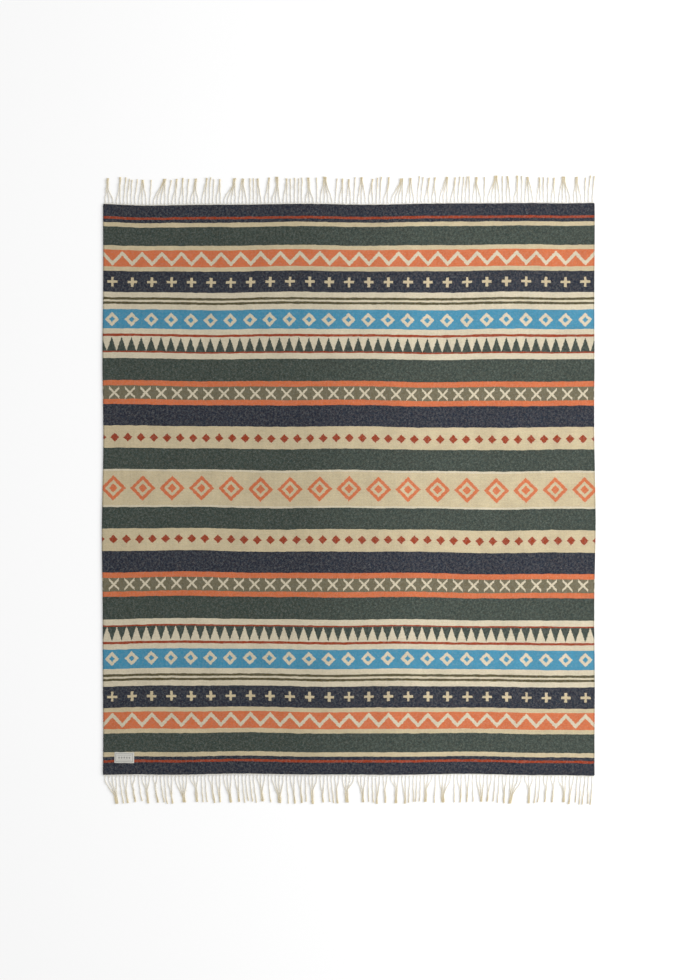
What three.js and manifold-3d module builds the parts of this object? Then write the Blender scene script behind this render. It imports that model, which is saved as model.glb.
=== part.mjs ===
// A woven wool blanket with a yarn fringe at both ends, lying flat with its right side up.
// Millimetres, +Z up. The origin is under the middle of the whole thing, on the surface it lies on.
// +X runs across the width and +Y along the length, towards the head end, away from the label.

import * as THREE from "three";
import { mergeVertices } from "three/addons/utils/BufferGeometryUtils.js";
import Module from "manifold-3d";

const wasm = await Module();
wasm.setup();

// Driving sizes of the cloth
const CLOTH_WIDTH = 1320;
const CLOTH_LENGTH = 1532;
const CLOTH_THICKNESS = 3;
const CLOTH_COLUMNS = 25;
const CLOTH_ROWS = 29;
const LONG_SIDE_EXTRA = 1.9;
const CORNER_PULL = 2.4;
const CORNER_REACH = 110;

// Driving sizes of the fringe: warp ends that are gathered into thin strands
const STRANDS_PER_END = 132;
const STRAND_WIDTH = 2.2;
const STRAND_HEIGHT = 2;
const STRAND_STEPS = 4;
const STRAND_GAP = 0.36;
const LENGTH_SPREAD = 6;
const GATHER_FROM = 0.12;
const MEETING_SPREAD = 0.48;
const PULL_SHARE = 0.72;
const LEAN_SPREAD = 6;
const LEAN_CURVE = 1.5;
const HEADING_WIDTH = 4;
const HEADING_THICKNESS = 2.4;
const ROOT_DEPTH = 2;
const PIECE_GAP = 0.3;

// Driving sizes of the sewn label
const LABEL_WIDTH = 53;
const LABEL_HEIGHT = 29;
const LABEL_THICKNESS = 0.8;
const LABEL_CORNER = 1.2;
const LABEL_FROM_SIDE = 30.5;
const LABEL_FROM_HEM = 30.5;
const LABEL_TURN = -0.8;

// How the cloth creeps within its own plane. Each row adds one slow wave.
// On top of them the +X side is a little longer than the other, and the four corners pull outwards.
// move: the direction moved; size: how far; start: phase in turns.
// across, along: wavelengths over the width and over the length.
const DRIFTS = [
  { move: "y", size: 1.4, across: 2640, along: 2600, start: 0.5 },
  { move: "y", size: 1.4, across: 2640, along: -2600, start: 0.5 },
  { move: "y", size: 1.2, across: 560, along: 1700, start: 0.15 },
  { move: "y", size: 0.7, across: 310, along: -930, start: 0.4 },
  { move: "x", size: 0.9, across: 2640, along: 1500, start: 0.1 },
  { move: "x", size: 1.1, across: 4400, along: 640, start: 0.2 },
  { move: "x", size: 0.8, across: -2600, along: 410, start: 0.7 },
];

// Soft ridges where the cloth stands a little off the surface.
// across, along: middle of the ridge; turn: degrees from +X; reach: half length; spread: half width.
const RIDGES = [
  { across: -330, along: 560, turn: 12, reach: 330, spread: 82, height: 1.7 },
  { across: 390, along: 420, turn: -8, reach: 270, spread: 74, height: 1.4 },
  { across: 255, along: 80, turn: 88, reach: 190, spread: 72, height: 1.3 },
  { across: -420, along: 40, turn: 20, reach: 240, spread: 78, height: 1.5 },
  { across: 460, along: -150, turn: 70, reach: 260, spread: 80, height: 1.6 },
  { across: -120, along: -330, turn: -10, reach: 360, spread: 84, height: 1.5 },
  { across: 380, along: -560, turn: 14, reach: 250, spread: 76, height: 1.8 },
];

// Numbers of strands that lie together as one lock, repeated along the fringe.
const LOCK_SIZES = [1, 2, 2, 3, 2, 1, 1, 1, 1, 3, 1, 4, 1, 2, 2, 1, 3, 2, 1, 1, 2, 4, 3, 1];

// The two fringes. Their tips lean along X by a steady lean and a sway that comes and goes over the width.
// meet: the share of its length from which a lock can have come together.
const ENDS = [
  { name: "fringe_head", side: 1, length: 73, seed: 3, meet: 0.58, lean: 3, sway: 4, wave: 610, start: 0.99 },
  { name: "fringe_foot", side: -1, length: 77, seed: 11, meet: 0.42, lean: 1.5, sway: 6.5, wave: 2520, start: 0.49 },
];

const MERGE_DISTANCE = 1e-4;

// A repeatable number from 0 to 1 that looks random.
function chance(index, seed) {
  const raw = Math.sin(index * 12.9898 + seed * 78.233) * 43758.5453;
  return raw - Math.floor(raw);
}

// From 0 to 1 with a soft start and end.
function ease(share) {
  const t = Math.min(1, Math.max(0, share));
  return t * t * (3 - 2 * t);
}

// How far a point of the flat cloth creeps, as [x, y].
function drift(u, v) {
  const moved = { x: 0, y: 0 };
  for (const { move, size, across, along, start } of DRIFTS)
    moved[move] += size * Math.sin(2 * Math.PI * (u / across + v / along + start));
  const towardsSide = u / (CLOTH_WIDTH / 2);
  const towardsHem = v / (CLOTH_LENGTH / 2);
  const nearSide = ease(1 - (CLOTH_WIDTH / 2 - Math.abs(u)) / CORNER_REACH);
  moved.y += towardsHem * (LONG_SIDE_EXTRA * towardsSide + CORNER_PULL * nearSide);
  return [moved.x, moved.y];
}

// How far the cloth stands off the surface at a point of the flat cloth.
function lift(u, v) {
  let highest = 0;
  for (const { across, along, turn, reach, spread, height } of RIDGES) {
    const angle = THREE.MathUtils.degToRad(turn);
    const forward = (u - across) * Math.cos(angle) + (v - along) * Math.sin(angle);
    const sideways = (v - along) * Math.cos(angle) - (u - across) * Math.sin(angle);
    const here = ease(1 - Math.abs(forward) / reach) * ease(1 - Math.abs(sideways) / spread);
    highest = Math.max(highest, height * here);
  }
  return highest;
}

// A closed solid from a grid of points: top(column, row) and bottom(column, row) give its two skins.
function sheetSolid(columns, rows, top, bottom) {
  const positions = [];
  const indices = [];
  const perRow = columns + 1;
  const skin = perRow * (rows + 1);
  for (const place of [top, bottom])
    for (let row = 0; row <= rows; row++)
      for (let column = 0; column <= columns; column++)
        positions.push(...place(column, row));
  const quad = (a, b, c, d) => indices.push(a, b, c, a, c, d);
  for (let row = 0; row < rows; row++)
    for (let column = 0; column < columns; column++) {
      const a = row * perRow + column;
      const d = a + perRow;
      quad(a, a + 1, d + 1, d);
      quad(skin + d, skin + d + 1, skin + a + 1, skin + a);
    }
  for (let column = 0; column < columns; column++) {
    const near = column;
    const far = rows * perRow + column;
    quad(skin + near, skin + near + 1, near + 1, near);
    quad(far, far + 1, skin + far + 1, skin + far);
  }
  for (let row = 0; row < rows; row++) {
    const left = row * perRow;
    const right = left + columns;
    quad(left, left + perRow, skin + left + perRow, skin + left);
    quad(skin + right, skin + right + perRow, right + perRow, right);
  }
  const geometry = new THREE.BufferGeometry();
  geometry.setAttribute("position", new THREE.Float32BufferAttribute(positions, 3));
  geometry.setIndex(indices);
  return geometry;
}

// The woven cloth: one sheet of even thickness that follows the drift and the soft ridges.
function clothGeometry() {
  const skinAt = (height) => (column, row) => {
    const u = (column / CLOTH_COLUMNS - 0.5) * CLOTH_WIDTH;
    const v = (row / CLOTH_ROWS - 0.5) * CLOTH_LENGTH;
    const [dx, dy] = drift(u, v);
    return [u + dx, v + dy, lift(u, v) + height];
  };
  return sheetSolid(CLOTH_COLUMNS, CLOTH_ROWS, skinAt(CLOTH_THICKNESS), skinAt(0));
}

// Where each strand of one end starts, which lock it lies in and how that lock runs.
function strandPlans({ seed, length, meet, lean, sway, wave, start }) {
  const pitch = CLOTH_WIDTH / STRANDS_PER_END;
  const besideEachOther = STRAND_WIDTH + STRAND_GAP;
  const plans = [];
  for (let first = 0, lock = seed; first < STRANDS_PER_END; lock++) {
    const size = Math.min(LOCK_SIZES[lock % LOCK_SIZES.length], STRANDS_PER_END - first);
    const middle = (first + size / 2) * pitch - CLOTH_WIDTH / 2;
    const swing = sway * Math.sin(2 * Math.PI * (middle / wave + start));
    const tipShift = lean + swing + LEAN_SPREAD * (chance(lock, seed) - 0.5);
    const meeting = meet + MEETING_SPREAD * chance(lock, seed + 1);
    const lockLength = length - LENGTH_SPREAD * chance(lock, seed + 2);
    const pull = PULL_SHARE * (size - 1) * pitch * (chance(lock, seed + 3) - 0.5);
    for (let rank = 0; rank < size; rank++) {
      const root = (first + rank + 0.5) * pitch - CLOTH_WIDTH / 2;
      const seat = middle + pull + (rank - (size - 1) / 2) * besideEachOther;
      plans.push({ root, tipShift, meeting, gather: seat - root, length: lockLength });
    }
    first += size;
  }
  return plans;
}

// The line of one strand on the surface, as points from its root to its tip.
function strandLine({ root, tipShift, meeting, gather, length }, side) {
  const hem = (side * CLOTH_LENGTH) / 2;
  const [dx, dy] = drift(root, hem);
  const start = hem + dy + side * (PIECE_GAP + HEADING_WIDTH - ROOT_DEPTH);
  const points = [];
  for (let step = 0; step <= STRAND_STEPS; step++) {
    const share = step / STRAND_STEPS;
    const gathered = ease((share - GATHER_FROM) / (meeting - GATHER_FROM));
    const x = root + dx + tipShift * share ** LEAN_CURVE + gather * gathered;
    points.push(new THREE.Vector2(x, start + side * share * length));
  }
  return points;
}

// One strand: a three-sided yarn with its flat side down, closed at both ends.
function strandGeometry(line) {
  const positions = [];
  const indices = [];
  const forwardUp = Math.sign(line.at(-1).y - line[0].y);
  for (const { x, y } of line) {
    positions.push(x - (forwardUp * STRAND_WIDTH) / 2, y, 0);
    positions.push(x + (forwardUp * STRAND_WIDTH) / 2, y, 0);
    positions.push(x, y, STRAND_HEIGHT);
  }
  const last = (line.length - 1) * 3;
  indices.push(0, 1, 2, last, last + 2, last + 1);
  for (let ring = 0; ring < last; ring += 3)
    for (let corner = 0; corner < 3; corner++) {
      const a = ring + corner;
      const b = ring + ((corner + 1) % 3);
      indices.push(a, a + 3, b + 3, a, b + 3, b);
    }
  const geometry = new THREE.BufferGeometry();
  geometry.setAttribute("position", new THREE.Float32BufferAttribute(positions, 3));
  geometry.setIndex(indices);
  return geometry;
}

// The narrow heading along a hem that the strands grow out of.
function headingGeometry(side) {
  const hem = (side * CLOTH_LENGTH) / 2;
  const skinAt = (height) => (column, row) => {
    const u = (column / CLOTH_COLUMNS - 0.5) * CLOTH_WIDTH;
    const [dx, dy] = drift(u, hem);
    const outward = PIECE_GAP + (side > 0 ? row : 1 - row) * HEADING_WIDTH;
    return [u + dx, hem + dy + side * outward, height];
  };
  return sheetSolid(CLOTH_COLUMNS, 1, skinAt(HEADING_THICKNESS), skinAt(0));
}

function toManifold(geometry) {
  const merged = mergeVertices(geometry, MERGE_DISTANCE);
  return new wasm.Manifold(
    new wasm.Mesh({
      numProp: 3,
      vertProperties: new Float32Array(merged.attributes.position.array),
      triVerts: new Uint32Array(merged.index.array),
    }),
  );
}

function fromManifold(solid) {
  const { numProp, vertProperties, triVerts } = solid.getMesh();
  const positions = [];
  for (let at = 0; at < vertProperties.length; at += numProp)
    positions.push(...vertProperties.subarray(at, at + 3));
  const geometry = new THREE.BufferGeometry();
  geometry.setAttribute("position", new THREE.Float32BufferAttribute(positions, 3));
  geometry.setIndex([...triVerts]);
  return geometry;
}

// One end's fringe: the heading and its strands, joined at the roots.
function fringeGeometry(end) {
  const heading = toManifold(headingGeometry(end.side));
  const strands = strandPlans(end).map((plan) => toManifold(strandGeometry(strandLine(plan, end.side))));
  return fromManifold(strands.reduce((joined, strand) => joined.add(strand), heading));
}

// The sewn label: a thin woven tab with softened corners, level on the cloth.
function labelGeometry() {
  const halfWidth = LABEL_WIDTH / 2;
  const halfHeight = LABEL_HEIGHT / 2;
  const corner = LABEL_CORNER;
  const outline = new THREE.Shape();
  outline.moveTo(-halfWidth + corner, -halfHeight);
  outline.lineTo(halfWidth - corner, -halfHeight);
  outline.quadraticCurveTo(halfWidth, -halfHeight, halfWidth, -halfHeight + corner);
  outline.lineTo(halfWidth, halfHeight - corner);
  outline.quadraticCurveTo(halfWidth, halfHeight, halfWidth - corner, halfHeight);
  outline.lineTo(-halfWidth + corner, halfHeight);
  outline.quadraticCurveTo(-halfWidth, halfHeight, -halfWidth, halfHeight - corner);
  outline.lineTo(-halfWidth, -halfHeight + corner);
  outline.quadraticCurveTo(-halfWidth, -halfHeight, -halfWidth + corner, -halfHeight);
  const settings = { depth: LABEL_THICKNESS, bevelEnabled: false, curveSegments: 3 };
  return new THREE.ExtrudeGeometry(outline, settings);
}

const woolCloth = new THREE.MeshStandardMaterial({ color: 0x6f6a5f, roughness: 0.95, metalness: 0 });
const fringeYarn = new THREE.MeshStandardMaterial({ color: 0xe3dccb, roughness: 0.95, metalness: 0 });
const labelTape = new THREE.MeshStandardMaterial({ color: 0xcfcdc6, roughness: 0.7, metalness: 0 });

function namedMesh(name, geometry, material) {
  geometry.computeVertexNormals();
  const mesh = new THREE.Mesh(geometry, material);
  mesh.name = name;
  return mesh;
}

const blanket = new THREE.Group();
blanket.add(namedMesh("blanket_cloth", clothGeometry(), woolCloth));
for (const end of ENDS)
  blanket.add(namedMesh(end.name, fringeGeometry(end), fringeYarn));

const label = namedMesh("sewn_label", labelGeometry(), labelTape);
label.position.set(
  LABEL_FROM_SIDE + LABEL_WIDTH / 2 - CLOTH_WIDTH / 2,
  LABEL_FROM_HEM + LABEL_HEIGHT / 2 - CLOTH_LENGTH / 2,
  CLOTH_THICKNESS + PIECE_GAP,
);
label.rotation.z = THREE.MathUtils.degToRad(LABEL_TURN);
blanket.add(label);

export default blanket;
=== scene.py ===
"""A banded wool blanket with fringed ends, laid flat with its face up.

Everything is in metres, +Z up, with the head end towards +Y and the label at the foot end.
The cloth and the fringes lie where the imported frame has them.
"""

import math
from collections import namedtuple

import bpy
import numpy as np
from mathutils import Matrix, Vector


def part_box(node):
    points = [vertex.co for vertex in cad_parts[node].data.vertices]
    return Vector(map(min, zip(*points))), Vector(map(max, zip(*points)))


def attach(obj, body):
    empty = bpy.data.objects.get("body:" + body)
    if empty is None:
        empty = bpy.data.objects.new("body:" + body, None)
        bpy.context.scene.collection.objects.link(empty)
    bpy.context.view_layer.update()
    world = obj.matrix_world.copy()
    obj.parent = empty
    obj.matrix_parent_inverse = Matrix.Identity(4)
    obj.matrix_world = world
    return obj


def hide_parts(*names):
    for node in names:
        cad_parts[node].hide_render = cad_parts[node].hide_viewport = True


bl_info = {
    "name": "Wool Blanket",
    "version": (1, 0, 0),
    "blender": (4, 5, 0),
    "location": "View3D > Sidebar > Blanket",
    "description": "Lays out a banded wool blanket with fringes and a sewn label",
    "category": "Add Mesh",
}

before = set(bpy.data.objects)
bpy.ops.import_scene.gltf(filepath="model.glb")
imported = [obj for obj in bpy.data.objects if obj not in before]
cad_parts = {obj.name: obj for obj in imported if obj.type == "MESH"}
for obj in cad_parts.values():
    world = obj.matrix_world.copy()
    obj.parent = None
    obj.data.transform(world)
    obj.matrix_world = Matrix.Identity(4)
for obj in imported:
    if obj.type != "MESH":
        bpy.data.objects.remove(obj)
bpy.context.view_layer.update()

MM = 0.001
TURN = 2 * math.pi
BODY = "root"

# Edges sharper than these angles stay sharp, in degrees
CLOTH_CREASE = 50
YARN_CREASE = 80

# The woven cloth, as it was cut
CLOTH_WIDTH = 1.32
CLOTH_LENGTH = 1.532
LONG_SIDE_EXTRA = 1.9 * MM
CORNER_PULL = 2.4 * MM
CORNER_REACH = 110 * MM

# How the cloth creeps within its own plane: slow waves, in millimetres and turns.
Drift = namedtuple("Drift", "move size across along start")
DRIFTS = [
    Drift("y", 1.4, 2640, 2600, 0.5),
    Drift("y", 1.4, 2640, -2600, 0.5),
    Drift("y", 1.2, 560, 1700, 0.15),
    Drift("y", 0.7, 310, -930, 0.4),
    Drift("x", 0.9, 2640, 1500, 0.1),
    Drift("x", 1.1, 4400, 640, 0.2),
    Drift("x", 0.8, -2600, 410, 0.7),
]

# Soft ridges where the cloth stands a little off the surface, in millimetres and degrees from +X.
Ridge = namedtuple("Ridge", "across along turn reach spread height")
RIDGES = [
    Ridge(-330, 560, 12, 330, 82, 1.7),
    Ridge(390, 420, -8, 270, 74, 1.4),
    Ridge(255, 80, 88, 190, 72, 1.3),
    Ridge(-420, 40, 20, 240, 78, 1.5),
    Ridge(460, -150, 70, 260, 80, 1.6),
    Ridge(-120, -330, -10, 360, 84, 1.5),
    Ridge(380, -560, 14, 250, 76, 1.8),
]

# Small uneven places of a milled cloth that has lain folded: height in millimetres, wavelengths, phase.
Pucker = namedtuple("Pucker", "height across along start")
PUCKERS = [
    Pucker(0.16, 163, 610, 0.1),
    Pucker(0.15, -118, 283, 0.4),
    Pucker(0.13, 87, -196, 0.75),
    Pucker(0.12, 420, 92, 0.3),
    Pucker(0.09, -61, -143, 0.55),
    Pucker(0.08, 71, 54, 0.9),
]
PUCKER_FADE = 60 * MM

# The fringes: single strands that lie together in locks
STRANDS_PER_END = 132
STRAND_PITCH = CLOTH_WIDTH / STRANDS_PER_END
LENGTH_SPREAD = 6 * MM
GATHER_FROM = 0.12
MEETING_SPREAD = 0.48
PULL_SHARE = 0.72
LEAN_SPREAD = 6 * MM
LEAN_CURVE = 1.5
OWN_LENGTH_SPREAD = 1.6 * MM
OWN_BEND = 1.5 * MM
OWN_CRIMP = 0.4 * MM
WARP_ENDS_PER_STRAND = 4
HEADING_WIDTH = 4 * MM
ROOT_DEPTH = 2 * MM
PIECE_GAP = 0.3 * MM
LOCK_SIZES = [1, 2, 2, 3, 2, 1, 1, 1, 1, 3, 1, 4, 1, 2, 2, 1, 3, 2, 1, 1, 2, 4, 3, 1]

# meet is the share of its length from which a lock can have come together
End = namedtuple("End", "name side length seed meet lean sway wave start")
ENDS = [
    End("head", 1, 73 * MM, 3, 0.58, 3 * MM, 4 * MM, 610 * MM, 0.99),
    End("foot", -1, 77 * MM, 11, 0.42, 1.5 * MM, 6.5 * MM, 2520 * MM, 0.49),
]

# The woven bands of one half, from the hem to the middle; the other half mirrors them. Millimetres.
Band = namedtuple("Band", "height ground figure yarn pitch", defaults=(None, None, 0))
BANDS = [
    Band(33.5, "navy"),
    Band(6.5, "brick"),
    Band(10, "navy"),
    Band(12, "sand"),
    Band(50, "green"),
    Band(12, "sand"),
    Band(44, "orange", "zigzag", "cream", 53),
    Band(12, "sand"),
    Band(58, "navy", "cross", "sand", 53),
    Band(14.4, "cream"),
    Band(5.2, "olive"),
    Band(7.8, "cream"),
    Band(5.2, "olive"),
    Band(14.4, "cream"),
    Band(52, "blue", "diamond", "cream", 53),
    Band(14, "cream"),
    Band(6.5, "brick"),
    Band(39, "cream", "peak", "green", 26.5),
    Band(6.5, "brick"),
    Band(14, "cream"),
    Band(60, "green"),
    Band(16, "orange"),
    Band(34, "taupe", "saltire", "cream", 42),
    Band(16, "orange"),
    Band(56, "navy"),
    Band(62, "sand", "lozenge", "brick", 35),
    Band(55, "green"),
    Band(8, "cream"),
    Band(42, "sand", "great_diamond", "orange", 79),
]

# Each weft float passes over this many warp ends, and lies this share of a float on from the one below it
FLOAT_ENDS = 3
FLOAT_SHIFT = 0.34

# Unevenness of the heathered yarns beside their slubs: strength, then spots of a size in millimetres
Layer = namedtuple("Layer", "strength across along detail rough seed")
HEATHER = [
    Layer(0.15, 6.0, 5.0, 3.0, 0.7, 1.3),
    Layer(0.2, 52, 2.8, 2.0, 0.6, 5.9),
    Layer(0.12, 4.2, 95, 1.0, 0.6, 9.2),
    Layer(0.26, 62, 80, 2.0, 0.6, 2.4),
]

# Painted shade: a thin darker strip along each side of the cloth, where its edge falls into shade; its width
# in millimetres, its strength and its colour
PAINTED_EDGE_SHADE_WIDTH = 3.2
PAINTED_EDGE_SHADE_STRENGTH = 0.22
PAINTED_EDGE_SHADE_TINT = (0.02, 0.02, 0.022, 1)

# Loose wool fibres: their radius from root to tip in millimetres, and how close together they are
FIBRE_RADII = [0.065, 0.06, 0.055, 0.045, 0.03]
STRAND_FIBRE_SCALE = 1.3
FIBRES_PER_STRAND = 36
SIDE_FIBRE_SPACING = 1.1 * MM

# The label as it lies, and its stitches
LABEL_TURN = math.radians(-0.8)
LABEL_TAPE = 0.5 * MM
LABEL_SINK = 0.05 * MM
STITCH_INSET = 1.3 * MM
STITCH_HALF = 1.5 * MM


def srgb(red, green, blue):
    """A colour as seen on a screen, 0 to 255, in linear light."""
    shares = (red / 255, green / 255, blue / 255)
    return tuple(s / 12.92 if s <= 0.04045 else ((s + 0.055) / 1.055) ** 2.4 for s in shares)


def colour(name, description, red, green, blue):
    return bpy.props.FloatVectorProperty(
        name=name,
        description=description,
        default=srgb(red, green, blue),
        size=3,
        min=0,
        max=1,
        subtype="COLOR",
    )


def distance(name, description, default):
    return bpy.props.FloatProperty(
        name=name,
        description=description,
        default=default,
        min=0,
        precision=4,
        subtype="DISTANCE",
        unit="LENGTH",
    )


def number(name, description, default):
    return bpy.props.FloatProperty(name=name, description=description, default=default)


class BlanketSizes(bpy.types.PropertyGroup):
    """Sizes that a maker would change."""

    thickness: distance("Thickness", "Thickness of the milled cloth", 3 * MM)
    cell: distance("Cell", "Spacing of the points across the cloth", 6.6 * MM)
    yarn: distance("Fringe yarn", "Diameter of one fringe strand", 2.1 * MM)
    beside: distance("Strand spacing", "Distance between the strands of one lock", 2.1 * MM)
    pick: distance("Pick", "Height of one weft pick", 1.3 * MM)
    warp_end: distance("Warp end", "Width of one warp end", 1.5 * MM)
    label_width: distance("Label width", "Width of the sewn label", 53 * MM)
    label_height: distance("Label height", "Height of the sewn label", 29 * MM)


class BlanketColours(bpy.types.PropertyGroup):
    """Dyed yarns, label and floor."""

    navy: colour("Navy", "Darkest ground yarn", 26, 31, 44)
    green: colour("Green", "Dark green ground yarn", 46, 56, 50)
    sand: colour("Sand", "Beige yarn", 179, 165, 134)
    cream: colour("Cream", "Lightest yarn of the cloth", 187, 177, 154)
    orange: colour("Orange", "Orange yarn", 183, 97, 58)
    brick: colour("Brick", "Brick red yarn", 133, 48, 18)
    blue: colour("Blue", "Sky blue yarn", 55, 123, 151)
    olive: colour("Olive", "Thin olive lines", 70, 64, 38)
    taupe: colour("Taupe", "Grey brown yarn", 96, 90, 70)
    nap_warm: colour("Warm fibres", "Brownish fibres in the heathered yarns", 120, 96, 78)
    nap_cool: colour("Cool fibres", "Bluish fibres in the heathered yarns", 84, 108, 122)
    nap: colour("Nap", "Loose pale fibres on the face of the cloth", 172, 169, 159)
    fringe: colour("Fringe", "Undyed fringe yarn at its tips", 211, 197, 163)
    warp: colour("Warp ends", "Fine undyed ends between the hem and the strands", 228, 224, 214)
    label: colour("Label", "Ground of the sewn label", 190, 188, 181)
    label_figure: colour("Label figure", "Woven frame of the label", 120, 119, 116)
    floor: colour("Floor", "Surface that the blanket lies on", 242, 242, 242)


class StageSettings(bpy.types.PropertyGroup):
    """Camera and light."""

    view_height: distance("View height", "Length of floor from the picture's bottom to its top", 2.634)
    lens: number("Lens", "Focal length in millimetres", 85)
    sky: number("Sky", "Even light from all round", 0.82)
    key: number("Key", "Watts of the light at the right", 400)
    soft: number("Soft boxes", "Watts of each light above", 0.64)


def chance(index, seed):
    """A repeatable number from 0 to 1 that looks random."""
    raw = np.sin(index * 12.9898 + seed * 78.233) * 43758.5453
    return raw - np.floor(raw)


def ease(share):
    """From 0 to 1 with a soft start and end."""
    t = np.clip(share, 0, 1)
    return t * t * (3 - 2 * t)


def drift(u, v):
    """How far points of the flat cloth creep, as (x, y)."""
    moved = {"x": 0 * u, "y": 0 * u}
    for row in DRIFTS:
        turns = u / (row.across * MM) + v / (row.along * MM) + row.start
        moved[row.move] = moved[row.move] + row.size * MM * np.sin(TURN * turns)
    towards_side = u / (CLOTH_WIDTH / 2)
    towards_hem = v / (CLOTH_LENGTH / 2)
    near_side = ease(1 - (CLOTH_WIDTH / 2 - np.abs(u)) / CORNER_REACH)
    spread = LONG_SIDE_EXTRA * towards_side + CORNER_PULL * near_side
    return moved["x"], moved["y"] + towards_hem * spread


def lift(u, v):
    """How far the underside of the cloth stands off the surface."""
    highest = 0 * u
    for row in RIDGES:
        angle = math.radians(row.turn)
        across = u - row.across * MM
        along = v - row.along * MM
        forward = across * math.cos(angle) + along * math.sin(angle)
        sideways = along * math.cos(angle) - across * math.sin(angle)
        here = ease(1 - np.abs(forward) / (row.reach * MM)) * ease(1 - np.abs(sideways) / (row.spread * MM))
        highest = np.maximum(highest, row.height * MM * here)
    return highest


def pucker(u, v):
    """Small ups and downs of the face, which die out towards the edges."""
    height = 0 * u
    for row in PUCKERS:
        turns = u / (row.across * MM) + v / (row.along * MM) + row.start
        height = height + row.height * MM * np.sin(TURN * turns)
    inside = np.minimum(CLOTH_WIDTH / 2 - np.abs(u), CLOTH_LENGTH / 2 - np.abs(v))
    return height * ease(inside / PUCKER_FADE)


# The output of a Texture Coordinate node that gives the place on the object
OBJECT_PLACE = 3


def two_sided(operation, swapped=False):
    """A method of Value that works out a Math node from the value and another one."""

    def method(self, other):
        return self.math(operation, other, self) if swapped else self.math(operation, self, other)

    return method


class Value:
    """A value or colour inside a material. An expression on it adds Math nodes."""

    def __init__(self, tree, socket=None):
        self.tree = tree
        self.socket = socket

    def node(self, kind, settings=None, values=None, output=0):
        """Adds any node: its settings first, then the values or links of its sockets."""
        made = self.tree.nodes.new(kind)
        for name, value in (settings or {}).items():
            if name == "stops":
                set_stops(made.color_ramp, value)
            else:
                setattr(made, name, value)
        for name, value in (values or {}).items():
            if isinstance(value, Value):
                self.tree.links.new(value.socket, made.inputs[name])
            else:
                made.inputs[name].default_value = value
        return Value(self.tree, made.outputs[output])

    def math(self, operation, *values):
        return self.node("ShaderNodeMath", {"operation": operation}, dict(enumerate(values)))

    def parts(self):
        """The first two components of a place."""
        first = self.node("ShaderNodeSeparateXYZ", values={0: self})
        return first, Value(self.tree, first.socket.node.outputs[1])

    def noise(self, scale=1.0, detail=2.0, rough=0.5, dimensions="2D"):
        """Soft noise from 0 to 1 at this place."""
        values = {"Vector": self, "Scale": scale, "Detail": detail, "Roughness": rough}
        return self.node("ShaderNodeTexNoise", {"noise_dimensions": dimensions}, values)

    def mix(self, other, share):
        """This colour turned towards another by a share."""
        return mix_colours(self, self, other, share)

    def scaled(self, share):
        """This colour made lighter or darker."""
        return self.node("ShaderNodeVectorMath", {"operation": "SCALE"}, {"Vector": self, "Scale": share})

    __add__ = two_sided("ADD")
    __radd__ = two_sided("ADD", swapped=True)
    __sub__ = two_sided("SUBTRACT")
    __rsub__ = two_sided("SUBTRACT", swapped=True)
    __mul__ = two_sided("MULTIPLY")
    __rmul__ = two_sided("MULTIPLY", swapped=True)
    __truediv__ = two_sided("DIVIDE")
    __lt__ = two_sided("LESS_THAN")
    __gt__ = two_sided("GREATER_THAN")
    __or__ = two_sided("MAXIMUM")
    at_least = two_sided("MAXIMUM")
    at_most = two_sided("MINIMUM")

    def __abs__(self):
        return self.math("ABSOLUTE", self)

    def whole(self):
        return self.math("FLOOR", self)

    def sine(self):
        return self.math("SINE", self)

    def stepped(self, size):
        """Rounded to the middle of cells of a size."""
        return (self / size).whole() * size + size / 2

    def centred(self, pitch):
        """The place within a repeat, from minus half a pitch to half a pitch."""
        return self.math("FLOORED_MODULO", self + pitch / 2, pitch) - pitch / 2


def mix_colours(ink, first, second, share):
    """A first colour turned towards a second by a share."""
    return ink.node("ShaderNodeMix", {"data_type": "RGBA"}, {0: share, 6: first, 7: second}, output=2)


def set_stops(ramp, stops):
    """Fills a colour ramp with (place, colour) stops that change without a blend."""
    ramp.interpolation = "CONSTANT"
    for at, (place, tint) in enumerate(stops):
        stop = ramp.elements[at] if at < 2 else ramp.elements.new(place)
        stop.position = place
        stop.color = (*tint, 1)


def new_material(name, roughness, sheen=0.0, gloss=0.05):
    """A material with a Principled shader, and the start of an expression in its tree."""
    material = bpy.data.materials.new(name)
    material.use_nodes = True
    shader = material.node_tree.nodes["Principled BSDF"]
    shader.inputs["Roughness"].default_value = roughness
    shader.inputs["Sheen Weight"].default_value = sheen
    shader.inputs["Sheen Roughness"].default_value = 0.5
    shader.inputs["Specular IOR Level"].default_value = gloss
    return material, shader, Value(material.node_tree)


def dress(material, shader, base=None, height=None, depth=0.0, strength=1.0):
    """Links a colour and a relief in metres to the shader."""
    links = material.node_tree.links
    if base is not None:
        links.new(base.socket, shader.inputs["Base Color"])
    if height is not None:
        values = {"Strength": strength, "Distance": depth, "Height": height}
        bump = height.node("ShaderNodeBump", values=values)
        links.new(bump.socket, shader.inputs["Normal"])
    return material


def figure_mask(figure, x, y, half, pitch):
    """1 on the figure of one band. x runs from the middle of its repeat, y from the band's middle.

    Sizes are in millimetres: half the width of a line or bar, and the reach from the middle.
    """
    across = abs(x)
    up = abs(y)

    def outwards(reach):
        """0 in the middle of a lozenge of a reach and 1 on its outline."""
        return across / reach + up / reach

    if figure == "zigzag":
        half_line = 6.2
        peak = half - 8
        line = across * (2 * peak / (pitch / 2)) - peak
        return abs(y - line) < half_line
    if figure == "cross":
        half_bar = 3.4
        reach = 13
        upright = (across < half_bar) * (up < reach)
        return upright | (across < reach) * (up < half_bar)
    if figure == "diamond":
        outline = 19
        hollow = 8
        return (outwards(outline) < 1) * (outwards(hollow) > 1)
    if figure == "peak":
        full = 0.98
        return across / (pitch / 2) + (y + half) / (2 * half) < full
    if figure == "saltire":
        half_bar = 3.6
        reach = 13.5
        return (abs(across - up) < half_bar) * (across < reach)
    heart = outwards(12) < 1
    if figure == "lozenge":
        return heart
    outline = 34
    hollow = 22
    return (outwards(outline) < 1) * (outwards(hollow) > 1) | heart


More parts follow.
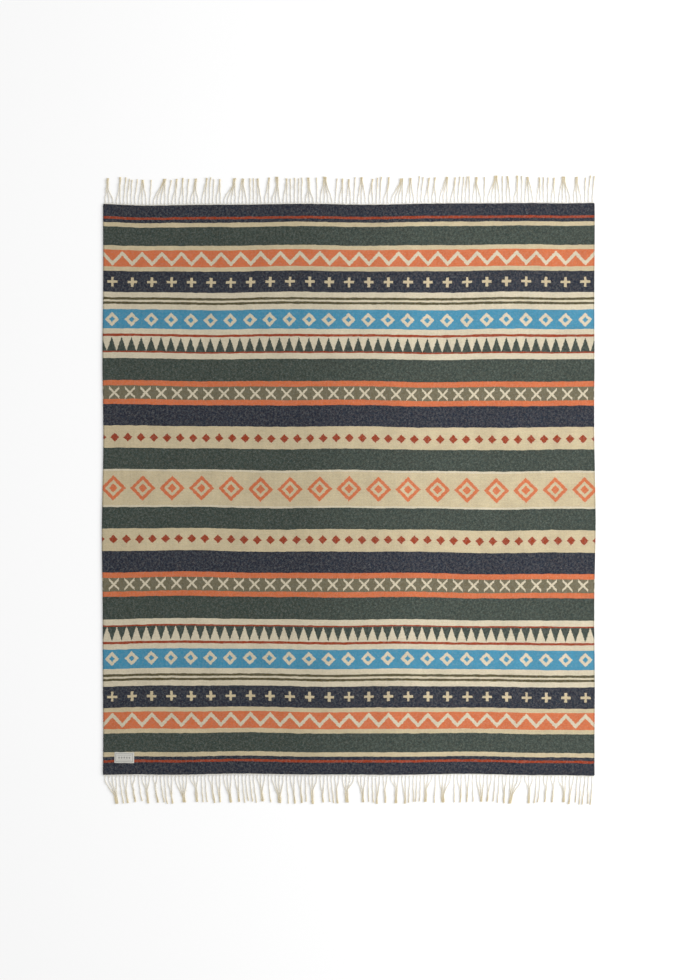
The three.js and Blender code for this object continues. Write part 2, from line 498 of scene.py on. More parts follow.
def wool_material(sizes, colours):
    """Banded, milled and lightly brushed wool. The pattern is worked out from the cloth's own flat map."""
    material, shader, ink = new_material("banded_wool", roughness=0.9, sheen=0.05)
    place = ink.node("ShaderNodeUVMap", {"uv_map": "flat"})
    u, v = place.parts()
    x = u * 1000
    y = v * 1000

    def noise(across, along, detail=2.0, rough=0.6, seed=0.0, turn=0.0):
        """Soft noise from 0 to 1 with spots of a width and height in millimetres, turned by degrees."""
        turned = place
        if turn:
            angle = (0, 0, math.radians(turn))
            turned = place.node("ShaderNodeMapping", values={"Vector": place, "Rotation": angle})
        per_spot = (1000 / across, 1000 / along, 1)
        moved = {"Vector": turned, "Location": (seed, seed, 0), "Scale": per_spot}
        return place.node("ShaderNodeMapping", values=moved).noise(1.0, detail, rough)

    # Yarns shift a little, so that figures and bands have uneven edges
    waver_x = (noise(9, 5, seed=3.1) - 0.5) * 3.6
    waver_y = (noise(26, 12, seed=7.7) - 0.5) * 3.4
    cell_x = (x + waver_x).stepped(sizes.warp_end / MM)
    cell_y = (abs(y) + waver_y).stepped(sizes.pick / MM)

    half_length = CLOTH_LENGTH / 2 / MM
    stops = []
    rows = []
    outer = half_length
    for band in BANDS:
        inner = outer - band.height
        stops.append((max(0.0, inner / half_length), tuple(getattr(colours, band.ground))))
        if band.figure:
            middle = 0.0 if band is BANDS[-1] else (inner + outer) / 2
            half = band.height if band is BANDS[-1] else band.height / 2
            rows.append((band, middle, half))
        outer = inner
    base = cell_y.node("ShaderNodeValToRGB", {"stops": stops[::-1]}, {0: cell_y / half_length})
    for band, middle, half in rows:
        local = cell_y - middle
        mask = figure_mask(band.figure, cell_x.centred(band.pitch), local, half, band.pitch)
        inside = abs(local) < half
        base = base.mix((*getattr(colours, band.yarn), 1), mask * inside)

    # Weave: each pick crosses the warp in floats that are highest at their middle
    yarn_y = (y + waver_y) / (sizes.pick / MM)
    row = yarn_y.whole()
    yarn_x = (x + waver_x) / (FLOAT_ENDS * sizes.warp_end / MM) + row * FLOAT_SHIFT
    in_row = yarn_y.centred(1.0) * 2
    in_float = yarn_x.centred(1.0) * 2
    crown = (1 - in_row * in_row) * (1 - in_float * in_float * in_float * in_float)

    def slub(length, seed):
        """How a heathered yarn varies along each pick, from -0.5 to 0.5."""
        apart = 7.37
        spot = row.node("ShaderNodeCombineXYZ", values={0: x / length, 1: row * apart + seed})
        return spot.noise(1.0, 2.0, 0.6) - 0.5

    def hair(across, along, seed, turn):
        """Thin curved lines where loose fibres lie over the yarns."""
        thinness = 34
        level = abs(noise(across, along, detail=1.0, seed=seed, turn=turn) - 0.5)
        return (1 - level * thinness).at_least(0.0)

    # Heather: fibres of several shades in each yarn, and shade that changes from pick to pick. The crown term
    # adds painted shade: each float is lighter at its middle and darker in the crevices between picks and at
    # its ends
    hairs = hair(3.6, 1.5, 6.6, 22) + hair(3.1, 1.2, 8.1, -47)
    fibre = noise(2.6, 0.3, seed=3.3, turn=17) - 0.5
    mottle = 0.36 * slub(6.0, 2.0)
    for layer in HEATHER:
        spots = noise(layer.across, layer.along, layer.detail, layer.rough, layer.seed)
        mottle = mottle + layer.strength * (spots - 0.5)
    shade = 0.78 + mottle + 0.36 * crown + 0.3 * fibre + 0.14 * hairs
    tuft = noise(4.8, 5.6, detail=3.0, rough=0.7, seed=0.7, turn=38) - 0.5
    hue = slub(9.0, 5.0) - 0.8 * tuft
    tinting = 0.35
    warm = base.scaled(shade).mix((*colours.nap_warm, 1), hue.at_least(0.0) * tinting)
    dyed_and_painted_shade = warm.mix((*colours.nap_cool, 1), (0 - hue).at_least(0.0) * tinting)

    # Loose pale fibres of the brushed face lie over the colours in small flecks of fine hairs
    wisp = noise(6.2, 8.4, detail=3.0, rough=0.7, seed=4.4) - 0.5
    fuzz = 0.7 * wisp + 0.7 * slub(5.0, 9.3) + 0.55 * tuft
    fleck = (fuzz + 0.12).at_least(0.0)
    cover = fleck * (0.3 + 1.1 * hairs + 0.3 * crown + 1.2 * fibre) * 0.52
    napped = dyed_and_painted_shade.mix((*colours.nap, 1), cover)

    # Painted shade: the last few millimetres at each side are darkened, where the cloth's edge falls into
    # shade
    from_side = CLOTH_WIDTH / 2 / MM - abs(x)
    with_painted_edge_shade = napped.mix(PAINTED_EDGE_SHADE_TINT, (from_side < PAINTED_EDGE_SHADE_WIDTH) * PAINTED_EDGE_SHADE_STRENGTH)

    # Round picks and float ends, softened by milling, under the loose fibres
    relief = crown * 0.7 + hairs * 0.35 + fibre * 0.9
    return dress(material, shader, with_painted_edge_shade, relief, depth=0.28 * MM, strength=0.8)


def yarn_material(name, tint, tip=None, roughness=0.88, sheen=0.06, twists=150.0):
    """Two-ply wool yarn. Its map runs round the yarn from 0 to 1 and along it in metres."""
    material, shader, ink = new_material(name, roughness, sheen)
    around, along = ink.node("ShaderNodeUVMap", {"uv_map": "yarn"}).parts()
    plies = 2
    ply = ((around * plies + along * twists) * TURN).sine() * 0.5 + 0.5
    spot = ink.node("ShaderNodeTexCoord", output=OBJECT_PLACE)
    fibre = spot.noise(620.0, 3.0, 0.7, "3D")
    slow = spot.noise(55.0, 2.0, 0.5, "3D")
    # The ply term is painted shade: darker in the grooves between the two plies, lighter on their crowns
    shade = 0.7 + 0.16 * ply + 0.2 * fibre + 0.16 * slow
    towards_tip = (along * (5 + 130 * along)).at_most(1.0)
    plain = mix_colours(ink, (*tint, 1), (*(tip or tint), 1), towards_tip)
    relief = ply * 0.8 + fibre * 0.5
    return dress(material, shader, plain.scaled(shade), relief, depth=0.35 * MM, strength=0.8)


def label_material(sizes, colours):
    """Closely woven tape with a plain frame and a row of small lozenges."""
    material, shader, ink = new_material("label_tape", roughness=0.6, sheen=0.05, gloss=0.35)
    place = ink.node("ShaderNodeUVMap", {"uv_map": "flat"})
    u, v = place.parts()
    thread = 0.5
    x = (u * 1000).stepped(thread)
    y = (v * 1000).stepped(thread)
    half_width = sizes.label_width / MM / 2
    half_height = sizes.label_height / MM / 2

    # A frame near the edge, a row of lozenges, and a thin line above and below them, in millimetres
    from_edge = (half_width - abs(x)).at_most(half_height - abs(y))
    rule = (from_edge > 3.2) * (from_edge < 4.4)
    inside = abs(x) < half_width - 8
    row = inside * (abs(x.centred(7)) / 2.9 + abs(y) / 3.6 < 1)
    lines = inside * (abs(abs(y) - 6.5) < 0.6)
    figure = (rule | row | lines) * 0.75
    base = mix_colours(ink, (*colours.label, 1), (*colours.label_figure, 1), figure)

    # Fine ribs and picks of the tape; the ribs also add painted shade to the colour, darker in the grooves
    # between them
    rib = 0.9
    pick = 0.6
    ribs = (u * 1000 * (TURN / rib)).sine() * 0.5 + 0.5
    picks = (v * 1000 * (TURN / pick)).sine() * 0.5 + 0.5
    shade = 0.82 + 0.1 * ribs + 0.2 * place.noise(900.0)
    return dress(material, shader, base.scaled(shade), ribs * picks, depth=0.12 * MM, strength=0.7)


def floor_material(colours):
    """Plain pale paper with a trace of tooth."""
    material, shader, ink = new_material("pale_floor", roughness=0.9)
    shader.inputs["Base Color"].default_value = (*colours.floor, 1)
    tooth = ink.node("ShaderNodeTexCoord", output=OBJECT_PLACE).noise(160.0, dimensions="3D")
    return dress(material, shader, height=tooth, depth=0.05 * MM, strength=0.2)


def deselect():
    if bpy.context.object and bpy.context.object.mode != "OBJECT":
        bpy.ops.object.mode_set(mode="OBJECT")
    bpy.ops.object.select_all(action="DESELECT")


def apply_modifier(piece, kind, **settings):
    """Adds one modifier to a piece and applies it."""
    deselect()
    piece.select_set(True)
    bpy.context.view_layer.objects.active = piece
    modifier = piece.modifiers.new(kind.lower(), kind)
    for name, value in settings.items():
        setattr(modifier, name, value)
    bpy.ops.object.modifier_apply(modifier=modifier.name)


def points_of(mesh):
    places = np.empty(len(mesh.vertices) * 3)
    mesh.vertices.foreach_get("co", places)
    return places.reshape(-1, 3)


def set_map(mesh, name, per_point):
    """Gives each corner of a mesh the map place of its point."""
    layer = mesh.uv_layers[name]
    corners = np.empty(len(mesh.loops), np.int32)
    mesh.loops.foreach_get("vertex_index", corners)
    layer.data.foreach_set("uv", per_point[corners].astype(np.float32).ravel())


def flat_grid(name, columns, rows):
    """A grid of a width and length of 1, as a piece and its points."""
    deselect()
    bpy.ops.mesh.primitive_grid_add(x_subdivisions=columns, y_subdivisions=rows, size=1, calc_uvs=True)
    piece = bpy.context.object
    piece.name = piece.data.name = name
    piece.data.uv_layers[0].name = "flat"
    return piece, points_of(piece.data)


def shape_sheet(piece, u, v, places, thickness, edge_round, segments):
    """Moves the points of a grid from the flat sheet to their places, and makes it a thick, rounded sheet."""
    piece.data.vertices.foreach_set("co", places.ravel())
    set_map(piece.data, "flat", np.stack([u, v], axis=1))
    apply_modifier(piece, "SOLIDIFY", thickness=thickness, offset=-1.0, use_rim=True)
    apply_modifier(
        piece, "BEVEL", width=edge_round, segments=segments, limit_method="ANGLE", angle_limit=1.0
    )


def mesh_piece(name, points, faces, maps=None):
    """One piece from arrays. faces holds index arrays, maps the map places of their corners by map name."""
    mesh = bpy.data.meshes.new(name)
    corners = np.concatenate([f.ravel() for f in faces]).astype(np.int32)
    widths = np.concatenate([np.full(len(f), f.shape[1]) for f in faces])
    starts = np.concatenate([[0], np.cumsum(widths)[:-1]]).astype(np.int32)
    mesh.vertices.add(len(points))
    mesh.vertices.foreach_set("co", np.asarray(points, np.float32).ravel())
    mesh.loops.add(len(corners))
    mesh.loops.foreach_set("vertex_index", corners)
    mesh.polygons.add(len(widths))
    mesh.polygons.foreach_set("loop_start", starts)
    for map_name, places in (maps or {}).items():
        layer = mesh.uv_layers.new(name=map_name)
        by_corner = np.concatenate([p.reshape(-1, 2) for p in places])
        layer.data.foreach_set("uv", by_corner.astype(np.float32).ravel())
    mesh.update(calc_edges=True)
    mesh.validate()
    piece = bpy.data.objects.new(name, mesh)
    bpy.context.scene.collection.objects.link(piece)
    return piece


def shade_smooth(piece, degrees=CLOTH_CREASE):
    deselect()
    piece.select_set(True)
    bpy.context.view_layer.objects.active = piece
    bpy.ops.object.shade_smooth_by_angle(angle=math.radians(degrees))


def tubes(name, lines, radii, sides, flat_places=None):
    """One piece of many closed tubes of the same number of rings.

    lines is an array of tubes by rings by 3, radii of tubes by rings. The map "yarn" runs round and along.
    flat_places, tubes by rings by 2, gives each ring its place on the flat cloth for the map "flat".
    """
    count, rings = lines.shape[:2]
    forward = np.gradient(lines, axis=1)
    forward /= np.linalg.norm(forward, axis=2, keepdims=True)
    up = np.array([0.0, 0.0, 1.0])
    side = np.cross(forward, up)
    lying = np.linalg.norm(side, axis=2, keepdims=True)
    side = np.where(lying > 1e-3, side / np.maximum(lying, 1e-3), np.array([1.0, 0.0, 0.0]))
    rise = np.cross(side, forward)
    turn = np.arange(sides) / sides * TURN

    # Rings of points, the walls between them, and a cap at each end
    ring = side[:, :, None] * np.cos(turn)[:, None] + rise[:, :, None] * np.sin(turn)[:, None]
    points = lines[:, :, None] + ring * radii[:, :, None, None]
    index = np.arange(count * rings * sides).reshape(count, rings, sides)
    after = np.roll(index, -1, axis=2)
    walls = np.stack([index[:, :-1], index[:, 1:], after[:, 1:], after[:, :-1]], axis=-1).reshape(-1, 4)
    starts = index[:, 0]
    tips = index[:, -1, ::-1]

    # The maps, corner by corner
    steps = np.linalg.norm(np.diff(lines, axis=1), axis=2)
    along = np.concatenate([np.zeros((count, 1)), np.cumsum(steps, axis=1)], axis=1)
    low = np.broadcast_to((np.arange(sides) / sides)[None, None], (count, rings - 1, sides))
    high = low + 1 / sides
    near = np.broadcast_to(along[:, :-1, None], low.shape)
    far = np.broadcast_to(along[:, 1:, None], low.shape)
    corners = ((low, near), (low, far), (high, far), (high, near))
    wall_map = np.stack([np.stack(corner, -1) for corner in corners], axis=-2)
    cap_map = np.zeros((count, sides, 2))
    maps = {"yarn": [wall_map, cap_map, cap_map]}
    if flat_places is not None:
        by_point = np.repeat(flat_places[:, :, None], sides, axis=2).reshape(-1, 2)
        maps["flat"] = [by_point[walls], by_point[starts], by_point[tips]]
    piece = mesh_piece(name, points.reshape(-1, 3), [walls, starts, tips], maps)
    shade_smooth(piece, YARN_CREASE)
    return piece


def settle(piece, material):
    """Gives a piece its material and slot, and lets it move with the blanket."""
    piece.data.materials.clear()
    piece.data.materials.append(material)
    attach(piece, BODY)


def hem_waver(u, v):
    """Small steps of the hem where some warp ends are pulled tighter."""
    groups = 0.3 * np.sin(u / (7.3 * MM)) * np.sin(u / (31 * MM) + 1)
    single = 0.25 * np.sin(u / (4.1 * MM) + 2 * np.sin(u / (23 * MM)))
    reach = 14 * MM
    near_hem = ease(1 - (CLOTH_LENGTH / 2 - np.abs(v)) / reach)
    return np.sign(v) * (groups + single) * MM * near_hem


def hem_line(u, side):
    """Where the cut edge of the cloth runs, for places across the width."""
    hem = side * CLOTH_LENGTH / 2
    dx, dy = drift(u, hem + 0 * u)
    return u + dx, hem + dy


def strand_routes(end, beside, steps):
    """The middle lines of one end's strands on the floor, as an array of strands by steps by (x, y)."""
    share = np.linspace(0, 1, steps)
    routes = []
    first = 0
    lock = end.seed
    while first < STRANDS_PER_END:
        size = min(LOCK_SIZES[lock % len(LOCK_SIZES)], STRANDS_PER_END - first)
        middle = (first + size / 2) * STRAND_PITCH - CLOTH_WIDTH / 2
        swing = end.sway * math.sin(TURN * (middle / end.wave + end.start))
        tip_shift = end.lean + swing + LEAN_SPREAD * (chance(lock, end.seed) - 0.5)
        meeting = end.meet + MEETING_SPREAD * chance(lock, end.seed + 1)
        length = end.length - LENGTH_SPREAD * chance(lock, end.seed + 2)
        pull = PULL_SHARE * (size - 1) * STRAND_PITCH * (chance(lock, end.seed + 3) - 0.5)
        for rank in range(size):
            number = first + rank
            root = (number + 0.5) * STRAND_PITCH - CLOTH_WIDTH / 2
            gather = middle + pull + (rank - (size - 1) / 2) * beside - root
            x, y = hem_line(np.array([root]), end.side)
            start = y + end.side * (PIECE_GAP + HEADING_WIDTH - ROOT_DEPTH)
            own = length - OWN_LENGTH_SPREAD * chance(number, end.seed + 5)
            own_meeting = meeting * (0.9 + 0.2 * chance(number, end.seed + 4))
            gathered = ease((share - GATHER_FROM) / (own_meeting - GATHER_FROM))
            bows = 0.6 + 0.5 * chance(number, 32)
            bend = OWN_BEND * (chance(number, 31) - 0.5) * np.sin(TURN * share * bows)
            kinks = share * (2.1 + chance(number, 6)) + chance(number, 7)
            crimp = OWN_CRIMP * np.sin(TURN * kinks)
            wander = (crimp + bend) * ease(share * 3)
            line_x = x + tip_shift * share**LEAN_CURVE + gather * gathered + wander
            routes.append(np.stack([line_x, start + end.side * share * own], axis=1))
        first += size
        lock += 1
    return np.array(routes)


def fibre_lines(roots, headings, seed, shortest, longest, highest):
    """Curved hairs that spring from their roots, as an array of hairs by rings by 3."""
    steps = len(FIBRE_RADII)
    most_curl = 1.6
    number = np.arange(len(roots))
    length = shortest + (longest - shortest) * chance(number, seed)
    curl = 2 * most_curl * (chance(number, seed + 1) - 0.5)
    share = np.linspace(0, 1, steps)
    angle = headings[:, None] + curl[:, None] * share[None, 1:]
    stride = length[:, None] / (steps - 1)
    x = np.cumsum(stride * np.cos(angle), axis=1)
    y = np.cumsum(stride * np.sin(angle), axis=1)
    end_height = highest * chance(number, seed + 2) + 0.1 * MM
    rise = (end_height - roots[:, 2])[:, None] * share[None, 1:] ** 1.5
    moves = np.concatenate([np.zeros((len(roots), 1, 3)), np.stack([x, y, rise], axis=2)], axis=1)
    return roots[:, None] + moves


class BLANKET_OT_lay_cloth(bpy.types.Operator):
    """Weaves the cloth and lays it flat, as uneven as milled wool lies"""

    bl_idname = "blanket.lay_cloth"
    bl_label = "Lay Cloth"

    def execute(self, context):
        sizes = context.scene.blanket_sizes
        near_edge = np.array([0.0, 1.2, 2.6, 5.0]) * MM
        edge_round = 1.1 * MM
        longer_along = 1.8

        def lines(length, cell):
            """Places of the grid's lines, closer together near the edges."""
            inner = length / 2 - near_edge[-1]
            middle = np.linspace(-inner, inner, round(2 * inner / cell) + 1)[1:-1]
            return np.concatenate([-length / 2 + near_edge, middle, length / 2 - near_edge[::-1]])

        across = lines(CLOTH_WIDTH, sizes.cell)
        along = lines(CLOTH_LENGTH, longer_along * sizes.cell)
        cloth, grid = flat_grid("blanket_wool", len(across) - 1, len(along) - 1)
        u = np.interp(grid[:, 0], np.linspace(-0.5, 0.5, len(across)), across)
        v = np.interp(grid[:, 1], np.linspace(-0.5, 0.5, len(along)), along)
        dx, dy = drift(u, v)
        height = sizes.thickness + lift(u, v) + pucker(u, v)
        places = np.stack([u + dx, v + dy + hem_waver(u, v), height], axis=1)
        shape_sheet(cloth, u, v, places, sizes.thickness, edge_round, segments=3)

        # The underside lies on the surface, not below it
        lying = points_of(cloth.data)
        lying[:, 2] = np.maximum(lying[:, 2], 0)
        cloth.data.vertices.foreach_set("co", lying.ravel())
        shade_smooth(cloth)
        material = wool_material(sizes, context.scene.blanket_colours)
        settle(cloth, material)
        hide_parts("blanket_cloth")
        return {"FINISHED"}


class BLANKET_OT_turn_selvedges(bpy.types.Operator):
    """Turns the weft round both sides of the cloth in small loops"""

    bl_idname = "blanket.turn_selvedges"
    bl_label = "Turn Selvedges"

    def execute(self, context):
        sizes = context.scene.blanket_sizes
        spacing = 2 * sizes.pick
        yarn = 0.48 * sizes.pick
        bulge = 0.75 * MM
        reach = sizes.thickness / 2 - yarn
        count = int((CLOTH_LENGTH - 2 * MM) / spacing)
        v = (np.arange(count) + 0.5 - count / 2) * spacing
        arc = np.linspace(-0.62, 0.62, 7) * math.pi
        for side, name in ((-1, "left_selvedge"), (1, "right_selvedge")):
            u = np.full(count, side * CLOTH_WIDTH / 2)
            dx, dy = drift(u, v)
            uneven = 0.25 * MM * (chance(np.arange(count), 8 + side) - 0.5)
            out = np.cos(arc)[None] * bulge + uneven[:, None]
            slant = np.sin(arc)[None] * sizes.pick * 0.5
            x = (u + dx)[:, None] + side * out
            y = (v + dy)[:, None] + slant
            z = sizes.thickness / 2 + np.sin(arc)[None] * reach + 0 * x
            lines = np.stack([x, y, z + lift(u, v)[:, None]], axis=2)
            radii = np.full(lines.shape[:2], yarn) * np.array([0.7, 0.95, 1, 1, 1, 0.95, 0.7])
            flat = np.stack([np.broadcast_to(u[:, None], x.shape), v[:, None] + 0 * x], axis=2)
            piece = tubes(name, lines, radii, 5, flat)
            settle(piece, bpy.data.materials["banded_wool"])
        return {"FINISHED"}


class BLANKET_OT_lay_fringes(bpy.types.Operator):
    """Lays the strands of both fringes, and the warp ends and heading picks that they grow out of"""

    bl_idname = "blanket.lay_fringes"
    bl_label = "Lay Fringes"

    def execute(self, context):
        sizes = context.scene.blanket_sizes
        colours = context.scene.blanket_colours
        pale = tuple(colours.warp)
        yarn = yarn_material("fringe_yarn", pale, tip=tuple(colours.fringe))
        fine = yarn_material("warp_yarn", pale, twists=420.0)
        for end in ENDS:
            strands = self.strands(end, sizes)
            settle(strands, yarn)
            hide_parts(f"fringe_{end.name}")
            settle(self.warp_ends(end, sizes), fine)
            settle(self.heading_picks(end, sizes), fine)
        return {"FINISHED"}

    def strands(self, end, sizes):
        """Single two-ply strands that lie on the floor and lean together in locks."""
        steps = 20
        routes = strand_routes(end, sizes.beside, steps)
        share = np.linspace(0, 1, steps)[None]
        radius = sizes.yarn / 2
        number = np.arange(len(routes))[:, None]

        # Thickness: thin at the root, then a small knot, even yarn, and a frayed tip
        swell = 1 + 0.12 * np.sin(TURN * (share * 3.3 + chance(number, 12)))
        fray = 1 + 0.22 * ease((share - 0.86) / 0.14)
        knot = 0.2 * np.exp(-(((share - 0.115) / 0.03) ** 2))
        root = 0.3 + 0.7 * ease((share - 0.03) / 0.09) + knot
        radii = radius * swell * fray * root * (0.9 + 0.2 * chance(number, 13))

        # Height: down from the hem to the floor, with a low hop further out
        hop = 0.7 * MM * chance(number, 14) * np.sin(math.pi * ease((share - 0.3) / 0.7)) ** 2
        fall = (sizes.thickness / 2 - radius) * (1 - ease(share / 0.1))
        height = radii + hop + np.maximum(fall, 0)
        lines = np.concatenate([routes, height[:, :, None]], axis=2)
        return tubes(f"{end.name}_fringe", lines, radii, 6)

    def warp_ends(self, end, sizes):
        """The thin warp ends that leave the hem and gather into each strand."""
        radius = 0.34 * MM
        beside = 0.45 * MM
        under_hem = 1.5 * MM
        meeting_step = 4
        pitch = STRAND_PITCH / WARP_ENDS_PER_STRAND
        routes = strand_routes(end, sizes.beside, 40)
        number = np.arange(len(routes) * WARP_ENDS_PER_STRAND)
        u = (number + 0.5) * pitch - CLOTH_WIDTH / 2
        hem_x, hem_y = hem_line(u, end.side)
        gathered = routes[number // WARP_ENDS_PER_STRAND, meeting_step]
        rank = number % WARP_ENDS_PER_STRAND - (WARP_ENDS_PER_STRAND - 1) / 2
        steps = np.linspace(0, 1, 7)
        start_y = hem_y - end.side * under_hem
        seat_x = gathered[:, 0] + rank * beside
        x = hem_x[:, None] + (seat_x - hem_x)[:, None] * ease(steps * 0.96)[None]
        y = start_y[:, None] + (gathered[:, 1] - start_y)[:, None] * steps[None]
        wave = 0.3 * MM * np.sin(TURN * (steps[None] + chance(number, 21)[:, None]))
        z = sizes.thickness / 2 * (1 - ease(steps)) + 0.9 * MM * ease(steps)
        lines = np.stack([x + wave * 0.5, y, z[None] + 0.12 * MM + 0 * x], axis=2)
        return tubes(f"{end.name}_warp_ends", lines, np.full(lines.shape[:2], radius), 5)

    def heading_picks(self, end, sizes):
        """Two twisted picks of undyed yarn that lock the hem."""
        radius = 0.62 * MM
        steps_per_strand = 8
        step = STRAND_PITCH / steps_per_strand
        count = int((CLOTH_WIDTH - 2 * MM) / step)
        u = (np.arange(count + 1) - count / 2) * step
        x, y = hem_line(u, end.side)
        lines = []
        for phase in (0, 0.5):
            turns = u / (STRAND_PITCH / 2) + phase
            out = 0.9 * MM + 0.45 * MM * np.cos(TURN * turns)
            height = sizes.thickness / 2 + 0.55 * MM * np.sin(TURN * turns)
            lines.append(np.stack([x, y + end.side * out, height], axis=1))
        return tubes(f"{end.name}_heading_picks", np.array(lines), np.full((2, len(u)), radius), 6)


class BLANKET_OT_tease_fibres(bpy.types.Operator):
    """Teases loose wool fibres out of the fringe strands and the sides of the cloth"""

    bl_idname = "blanket.tease_fibres"
    bl_label = "Tease Fibres"

    def execute(self, context):
        sizes = context.scene.blanket_sizes
        yarn = bpy.data.materials["fringe_yarn"]
        wool = bpy.data.materials["banded_wool"]
        taper = np.array(FIBRE_RADII) * MM
        for end in ENDS:
            lines = self.strand_fibres(end, sizes)
            radii = np.broadcast_to(STRAND_FIBRE_SCALE * taper, lines.shape[:2])
            settle(tubes(f"{end.name}_loose_fibres", lines, radii, 3), yarn)
        for side, name in ((-1, "left_loose_fibres"), (1, "right_loose_fibres")):
            lines, flat = self.side_fibres(side, sizes)
            radii = np.broadcast_to(taper, lines.shape[:2])
            settle(tubes(name, lines, radii, 3, flat), wool)
        return {"FINISHED"}

    def strand_fibres(self, end, sizes):
        """Hairs that stand out of the strands on all sides."""
        steps = 40
        routes = strand_routes(end, sizes.beside, steps)
        number = np.arange(len(routes) * FIBRES_PER_STRAND)
        strand = number // FIBRES_PER_STRAND
        at = (0.1 + 0.88 * chance(number, 41)) * (steps - 1)
        before = np.floor(at).astype(int)
        part = (at - before)[:, None]
        place = routes[strand, before] * (1 - part) + routes[strand, before + 1] * part
        roots = np.concatenate([place, np.full((len(number), 1), sizes.yarn / 2)], axis=1)
        headings = TURN * chance(number, 42)
        return fibre_lines(roots, headings, 43, shortest=3 * MM, longest=11 * MM, highest=2.2 * MM)

    def side_fibres(self, side, sizes):
        """Short hairs along one side, with each hair's place on the flat cloth."""
        count = int(CLOTH_LENGTH / SIDE_FIBRE_SPACING)
        number = np.arange(count)
        v = (number + 0.5 - count / 2) * SIDE_FIBRE_SPACING
        u = np.full(count, side * CLOTH_WIDTH / 2)
        dx, dy = drift(u, v)
        height = sizes.thickness * (0.3 + 0.6 * chance(number, 51)) + lift(u, v)
        roots = np.stack([u + dx, v + dy, height], axis=1)
        outward = 0 if side > 0 else math.pi
        headings = outward + 2.2 * (chance(number, 52) - 0.5)
        lines = fibre_lines(roots, headings, 53 + side, 1.4 * MM, 3.6 * MM, highest=3.4 * MM)
        flat = np.stack([u, v], axis=1)
        return lines, np.broadcast_to(flat[:, None], (count, lines.shape[1], 2))


class BLANKET_OT_sew_label(bpy.types.Operator):
    """Lays a plain woven label near the foot end's left corner and stitches it on"""

    bl_idname = "blanket.sew_label"
    bl_label = "Sew Label"

    def execute(self, context):
        sizes = context.scene.blanket_sizes
        colours = context.scene.blanket_colours
        low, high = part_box("sewn_label")
        centre = (low + high) / 2
        seat = low.z - PIECE_GAP + LABEL_SINK
        label, grid = flat_grid("woven_label", 30, 18)
        x = grid[:, 0] * sizes.label_width
        y = grid[:, 1] * sizes.label_height
        edge = np.minimum(sizes.label_width / 2 - np.abs(x), sizes.label_height / 2 - np.abs(y))
        puff = 0.5 * MM * ease(edge / (5 * MM)) + 0.08 * MM * np.sin(x * 330) * np.sin(y * 410)
        wander = 0.25 * MM * np.sin(x * 210 + 1.0)
        places = self.laid(x, y + wander, seat + LABEL_TAPE + puff, centre)
        shape_sheet(label, x, y, places, LABEL_TAPE, edge_round=0.2 * MM, segments=2)
        shade_smooth(label)
        settle(label, label_material(sizes, colours))
        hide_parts("sewn_label")

        thread = yarn_material("label_thread", tuple(colours.warp), twists=900.0)
        settle(self.stitches(sizes, centre, seat), thread)
        return {"FINISHED"}

    def laid(self, x, y, z, centre):
        """Places on the label, turned and moved to where it lies."""
        across = x * math.cos(LABEL_TURN) - y * math.sin(LABEL_TURN) + centre.x
        along = x * math.sin(LABEL_TURN) + y * math.cos(LABEL_TURN) + centre.y
        return np.stack([across, along, z], axis=-1)

    def stitches(self, sizes, centre, seat):
        """A running stitch just inside the label's edge."""
        half_x = sizes.label_width / 2 - STITCH_INSET
        half_y = sizes.label_height / 2 - STITCH_INSET
        starts = []
        for count, length, level, across in ((11, half_x, half_y, True), (6, half_y, half_x, False)):
            for sign in (-1, 1):
                for at in (np.arange(count) + 0.5) / count * 2 - 1:
                    middle = (at * length, sign * level) if across else (sign * level, at * length)
                    starts.append((*middle, 1.0 if across else 0.0))
        starts = np.array(starts)
        bow = np.linspace(-1, 1, 7)
        x = starts[:, :1] + bow[None] * STITCH_HALF * starts[:, 2:]
        y = starts[:, 1:2] + bow[None] * STITCH_HALF * (1 - starts[:, 2:])
        z = seat + 0.6 * MM + 0.22 * MM * (1 - bow[None] ** 2) - 0.4 * MM * bow[None] ** 6 + 0 * x
        lines = self.laid(x, y, z, centre)
        radius = 0.24 * MM
        return tubes("label_stitches", lines, np.full(lines.shape[:2], radius), 5)


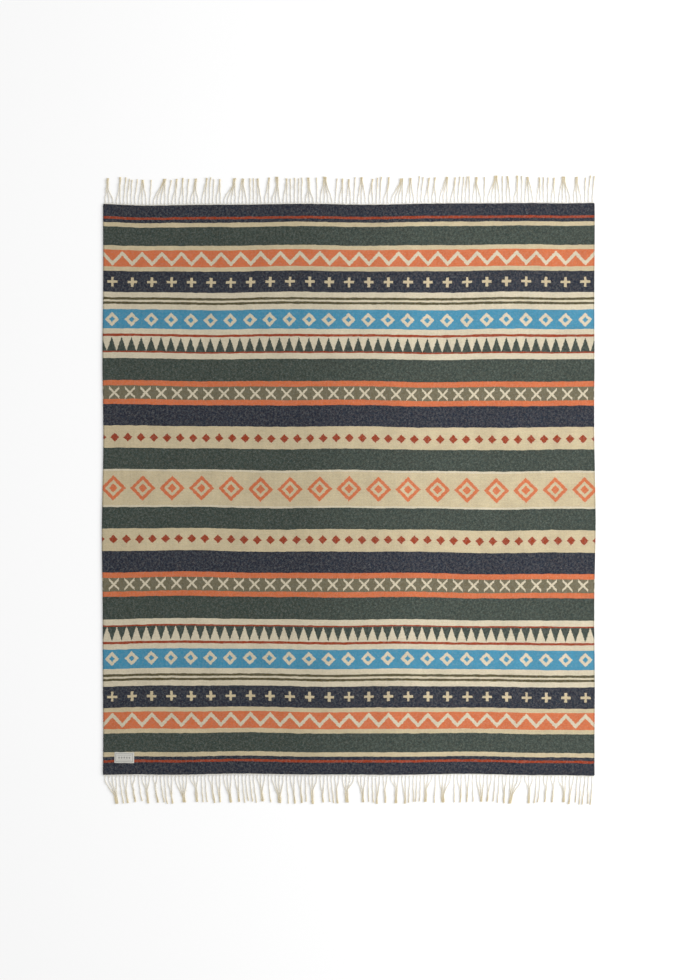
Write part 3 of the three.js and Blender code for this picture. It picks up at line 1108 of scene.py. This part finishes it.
class BLANKET_OT_set_stage(bpy.types.Operator):
    """Sets the pale floor, the soft lights and the camera straight above"""

    bl_idname = "blanket.set_stage"
    bl_label = "Set Stage"

    def execute(self, context):
        scene = context.scene
        stage = scene.blanket_stage
        deselect()
        floor_side = 120
        under_cloth = -0.05 * MM
        bpy.ops.mesh.primitive_plane_add(size=floor_side, location=(0, 0, under_cloth))
        floor = context.object
        floor.name = "floor"
        floor.data.materials.append(floor_material(scene.blanket_colours))

        scene.world = bpy.data.worlds.new("even_sky")
        scene.world.use_nodes = True
        sky = scene.world.node_tree.nodes["Background"]
        sky.inputs["Color"].default_value = (1, 1, 1, 1)
        sky.inputs["Strength"].default_value = stage.sky
        self.lamp("key_light", (6.0, 0.6, 2.6), (0, 0, 0), stage.key, 3.0, 3.0)
        right = 0.72
        box_length = 1.56
        box_height = 1.6
        for name, left in (("soft_box_wide", -0.06), ("soft_box_narrow", 0.14)):
            middle = (left + right) / 2
            above = (middle, 0, box_height)
            soft_box = self.lamp(name, above, (middle, 0, 0), stage.soft, right - left, box_length)
            soft_box.data.spread = math.radians(9)

        bpy.ops.object.camera_add()
        camera = context.object
        camera.name = "camera"
        camera.data.lens = stage.lens
        camera.data.sensor_width = 36
        far = stage.view_height * stage.lens / camera.data.sensor_width
        off_middle = (3.4 * MM, -2.0 * MM)
        camera.location = (*off_middle, far)
        scene.camera = camera
        scene.view_settings.view_transform = "Standard"
        return {"FINISHED"}

    def lamp(self, name, place, aim, watts, width, height):
        """A rectangular soft light that the camera doesn't see."""
        bpy.ops.object.light_add(type="AREA", location=place)
        lamp = bpy.context.object
        lamp.name = name
        lamp.data.shape = "RECTANGLE"
        lamp.data.size = width
        lamp.data.size_y = height
        lamp.data.energy = watts
        lamp.visible_camera = False
        direction = np.array(aim) - np.array(place)
        flat = math.hypot(direction[0], direction[1])
        lamp.rotation_euler = (math.atan2(flat, -direction[2]), 0, math.atan2(-direction[0], direction[1]))
        return lamp


class BLANKET_PT_panel(bpy.types.Panel):
    """Sizes, colours and steps of the blanket"""

    bl_idname = "BLANKET_PT_panel"
    bl_label = "Wool Blanket"
    bl_space_type = "VIEW_3D"
    bl_region_type = "UI"
    bl_category = "Blanket"

    def draw(self, context):
        scene = context.scene
        for group in (scene.blanket_sizes, scene.blanket_colours, scene.blanket_stage):
            box = self.layout.box()
            for name in group.__annotations__:
                box.prop(group, name)
        for step in STEPS:
            self.layout.operator(step.bl_idname)


STEPS = [
    BLANKET_OT_lay_cloth,
    BLANKET_OT_turn_selvedges,
    BLANKET_OT_lay_fringes,
    BLANKET_OT_tease_fibres,
    BLANKET_OT_sew_label,
    BLANKET_OT_set_stage,
]
SETTINGS = {
    "blanket_sizes": BlanketSizes,
    "blanket_colours": BlanketColours,
    "blanket_stage": StageSettings,
}


def register():
    for group in SETTINGS.values():
        bpy.utils.register_class(group)
    for kind in [*STEPS, BLANKET_PT_panel]:
        bpy.utils.register_class(kind)
    for name, group in SETTINGS.items():
        setattr(bpy.types.Scene, name, bpy.props.PointerProperty(type=group))


def unregister():
    for name in SETTINGS:
        delattr(bpy.types.Scene, name)
    for kind in [BLANKET_PT_panel, *reversed(STEPS), *SETTINGS.values()]:
        bpy.utils.unregister_class(kind)


def declare_cloth():
    """Gathers the names of the pieces that lie on the cloth, and does nothing more with them."""
    on_it = ["left_selvedge", "right_selvedge", "woven_label", "label_stitches"]
    on_it += ["left_loose_fibres", "right_loose_fibres"]
    for end in ENDS:
        on_it += [f"{end.name}_{part}" for part in ("fringe", "warp_ends", "heading_picks", "loose_fibres")]


def main():
    register()
    for step in STEPS:
        operator = getattr(bpy.ops.blanket, step.bl_idname.split(".")[1])
        operator()
    declare_cloth()


if __name__ == "__main__":
    main()
